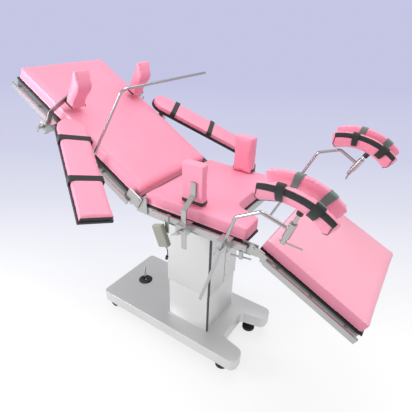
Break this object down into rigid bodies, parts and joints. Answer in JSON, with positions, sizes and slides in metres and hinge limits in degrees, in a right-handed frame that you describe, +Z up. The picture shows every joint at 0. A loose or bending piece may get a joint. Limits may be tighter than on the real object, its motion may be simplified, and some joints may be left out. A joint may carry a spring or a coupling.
{
  "type": "obstetric delivery table",
  "caption": "Delivery table on a lifting column with folding back and leg sections, arm boards, hip and shoulder supports, bent-rod leg holders and an anaesthesia screen rod.",
  "frame": {"origin": "On the floor under the centre line of the lifting column.", "axes": "+X towards the foot end, +Y towards the far side, +Z up."},
  "size_m": [1.8189, 1.2144, 1.4151],
  "materials": {
    "stainless": "satin, finely brushed",
    "polished_steel": "bright",
    "dark_frame": "semi-matte",
    "pink_vinyl": "soft, slightly glossy",
    "backing_board": "dark sealed plywood",
    "black_rubber": "matte",
    "castor_tread": "matte",
    "control_beige": "matte",
    "black_plastic": "matte"
  },
  "bodies": {
    "base": {"base_shroud": "stainless", "base_frame": "dark_frame", "rubber_feet": "black_rubber", "lever_gaiter": "black_rubber", "column_lower_cover": "stainless", "lift_ram": "dark_frame"},
    "lever": {"brake_lever": "polished_steel"},
    "castor_near": {"castor_wheel_near": "castor_tread"},
    "castor_far": {"castor_wheel_far": "castor_tread"},
    "lift": {"column_upper_cover": "stainless", "upper_mast": "dark_frame", "lift_rod": "polished_steel", "tilt_yoke": "dark_frame"},
    "table": {"seat_frame": "stainless", "seat_board": "backing_board", "seat_cushion": "pink_vinyl", "seat_rails": "stainless", "seat_clamps": "stainless", "pendant": "control_beige", "pendant_hook": "stainless", "pendant_lead": "black_rubber", "lead_plug": "black_plastic"},
    "back": {"back_frame": "stainless", "back_board": "backing_board", "back_cushion": "pink_vinyl", "back_rails": "stainless", "back_clamps": "stainless"},
    "leg": {"leg_frame": "stainless", "leg_board": "backing_board", "leg_cushion": "pink_vinyl", "leg_rails": "stainless"},
    "screen": {"screen_rod": "polished_steel"},
    "arm_near": {"arm_board_near": "backing_board", "arm_pad_near": "pink_vinyl"},
    "shoulder_near": {"shoulder_bar_near": "stainless", "shoulder_pad_near": "pink_vinyl"},
    "hip_near": {"hip_bar_near": "stainless", "hip_pad_near": "pink_vinyl"},
    "holder_near": {"holder_rod_near": "polished_steel"},
    "trough_near": {"trough_post_near": "polished_steel", "leg_trough_near": "pink_vinyl"},
    "knuckle_handle_turn_near": {"knuckle_handle_near": "polished_steel"},
    "holder_handle_turn_near": {"holder_handle_near": "polished_steel"},
    "hip_handle_turn_near": {"hip_handle_near": "polished_steel"},
    "leg_lock_turn_near": {"leg_lock_near": "polished_steel"},
    "shoulder_handle_turn_near": {"shoulder_handle_near": "polished_steel"},
    "arm_far": {"arm_board_far": "backing_board", "arm_pad_far": "pink_vinyl"},
    "shoulder_far": {"shoulder_bar_far": "stainless", "shoulder_pad_far": "pink_vinyl"},
    "hip_far": {"hip_bar_far": "stainless", "hip_pad_far": "pink_vinyl"},
    "holder_far": {"holder_rod_far": "polished_steel"},
    "trough_far": {"trough_post_far": "polished_steel", "leg_trough_far": "pink_vinyl"},
    "knuckle_handle_turn_far": {"knuckle_handle_far": "polished_steel"},
    "holder_handle_turn_far": {"holder_handle_far": "polished_steel"},
    "hip_handle_turn_far": {"hip_handle_far": "polished_steel"},
    "leg_lock_turn_far": {"leg_lock_far": "polished_steel"},
    "shoulder_handle_turn_far": {"shoulder_handle_far": "polished_steel"}
  },
  "joints": [
    {"name": "lift", "type": "slide", "parent": "base", "child": "lift", "axis": [0, 0, 1], "range_m": [-0.2, 0]},
    {"name": "tilt", "type": "hinge", "parent": "lift", "child": "table", "pos_m": [0, 0, 0.81], "axis": [0, 1, 0], "range_deg": [-10, 10]},
    {"name": "back_fold", "type": "hinge", "parent": "table", "child": "back", "pos_m": [-0.1683, 0, 0.913], "axis": [0, 1, 0], "range_deg": [-40.25, 29.75]},
    {"name": "leg_fold", "type": "hinge", "parent": "table", "child": "leg", "pos_m": [0.398, 0, 0.89], "axis": [0, 1, 0], "range_deg": [-25.7, 49.3]},
    {"name": "lever", "type": "hinge", "parent": "base", "child": "lever", "pos_m": [-0.428, 0, 0.118], "axis": [0, 1, 0], "range_deg": [-10, 10]},
    {"name": "screen_slide", "type": "slide", "parent": "back", "child": "screen", "axis": [0.5592, 0, 0.829], "range_m": [-0.15, 0.03]},
    {"name": "castor_near", "type": "hinge", "parent": "base", "child": "castor_near", "pos_m": [-0.533, -0.172, 0.027], "axis": [0, 1, 0], "continuous": true},
    {"name": "arm_swing_near", "type": "hinge", "parent": "back", "child": "arm_near", "pos_m": [-0.49874, -0.32436, 1.1578], "axis": [0.5038, 0, 0.8638], "range_deg": [-62, 0]},
    {"name": "shoulder_slide_near", "type": "slide", "parent": "back", "child": "shoulder_near", "axis": [0.5038, 0, 0.8638], "range_m": [-0.008, 0.05]},
    {"name": "hip_slide_near", "type": "slide", "parent": "table", "child": "hip_near", "axis": [0, 0, 1], "range_m": [-0.005, 0.09]},
    {"name": "holder_swing_near", "type": "hinge", "parent": "table", "child": "holder_near", "pos_m": [0.291, -0.308, 0.883], "axis": [0.2874, 0, 0.9578], "range_deg": [-60, 10]},
    {"name": "trough_swivel_near", "type": "hinge", "parent": "holder_near", "child": "trough_near", "pos_m": [0.53801, -0.32119, 1.04985], "axis": [0.3007, 0, 0.9537], "range_deg": [-35, 35]},
    {"name": "knuckle_handle_near", "type": "hinge", "parent": "holder_near", "child": "knuckle_handle_turn_near", "pos_m": [0.53801, -0.32119, 1.04985], "axis": [0.3007, 0, 0.9537], "range_deg": [-90, 90]},
    {"name": "holder_handle_near", "type": "hinge", "parent": "table", "child": "holder_handle_turn_near", "pos_m": [0.291, -0.328, 0.883], "axis": [0, 1, 0], "range_deg": [-90, 90]},
    {"name": "hip_handle_near", "type": "hinge", "parent": "table", "child": "hip_handle_turn_near", "pos_m": [0.101, -0.328, 0.883], "axis": [0, 1, 0], "range_deg": [-90, 90]},
    {"name": "leg_lock_near", "type": "hinge", "parent": "table", "child": "leg_lock_turn_near", "pos_m": [0.356, -0.283, 0.85], "axis": [0, 0, 1], "range_deg": [-90, 90]},
    {"name": "shoulder_handle_near", "type": "hinge", "parent": "back", "child": "shoulder_handle_turn_near", "pos_m": [-0.69876, -0.328, 1.15869], "axis": [0, 1, 0], "range_deg": [-90, 90]},
    {"name": "castor_far", "type": "hinge", "parent": "base", "child": "castor_far", "pos_m": [-0.533, 0.172, 0.027], "axis": [0, 1, 0], "continuous": true},
    {"name": "arm_swing_far", "type": "hinge", "parent": "back", "child": "arm_far", "pos_m": [-0.49874, 0.32436, 1.1578], "axis": [0.5038, 0, 0.8638], "range_deg": [-20, 62]},
    {"name": "shoulder_slide_far", "type": "slide", "parent": "back", "child": "shoulder_far", "axis": [0.5038, 0, 0.8638], "range_m": [-0.008, 0.05]},
    {"name": "hip_slide_far", "type": "slide", "parent": "table", "child": "hip_far", "axis": [0, 0, 1], "range_m": [-0.005, 0.09]},
    {"name": "holder_swing_far", "type": "hinge", "parent": "table", "child": "holder_far", "pos_m": [0.315, 0.308, 0.883], "axis": [0.4226, 0, 0.9063], "range_deg": [-10, 60]},
    {"name": "trough_swivel_far", "type": "hinge", "parent": "holder_far", "child": "trough_far", "pos_m": [0.5923, 0.31972, 1.08121], "axis": [0.4695, 0, 0.8829], "range_deg": [-35, 35]},
    {"name": "knuckle_handle_far", "type": "hinge", "parent": "holder_far", "child": "knuckle_handle_turn_far", "pos_m": [0.5923, 0.31972, 1.08121], "axis": [0.4695, 0, 0.8829], "range_deg": [-90, 90]},
    {"name": "holder_handle_far", "type": "hinge", "parent": "table", "child": "holder_handle_turn_far", "pos_m": [0.315, 0.328, 0.883], "axis": [0, 1, 0], "range_deg": [-90, 90]},
    {"name": "hip_handle_far", "type": "hinge", "parent": "table", "child": "hip_handle_turn_far", "pos_m": [0.101, 0.328, 0.883], "axis": [0, 1, 0], "range_deg": [-90, 90]},
    {"name": "leg_lock_far", "type": "hinge", "parent": "table", "child": "leg_lock_turn_far", "pos_m": [0.356, 0.283, 0.85], "axis": [0, 0, 1], "range_deg": [-90, 90]},
    {"name": "shoulder_handle_far", "type": "hinge", "parent": "back", "child": "shoulder_handle_turn_far", "pos_m": [-0.69876, 0.328, 1.15869], "axis": [0, 1, 0], "range_deg": [-90, 90]}
  ]
}
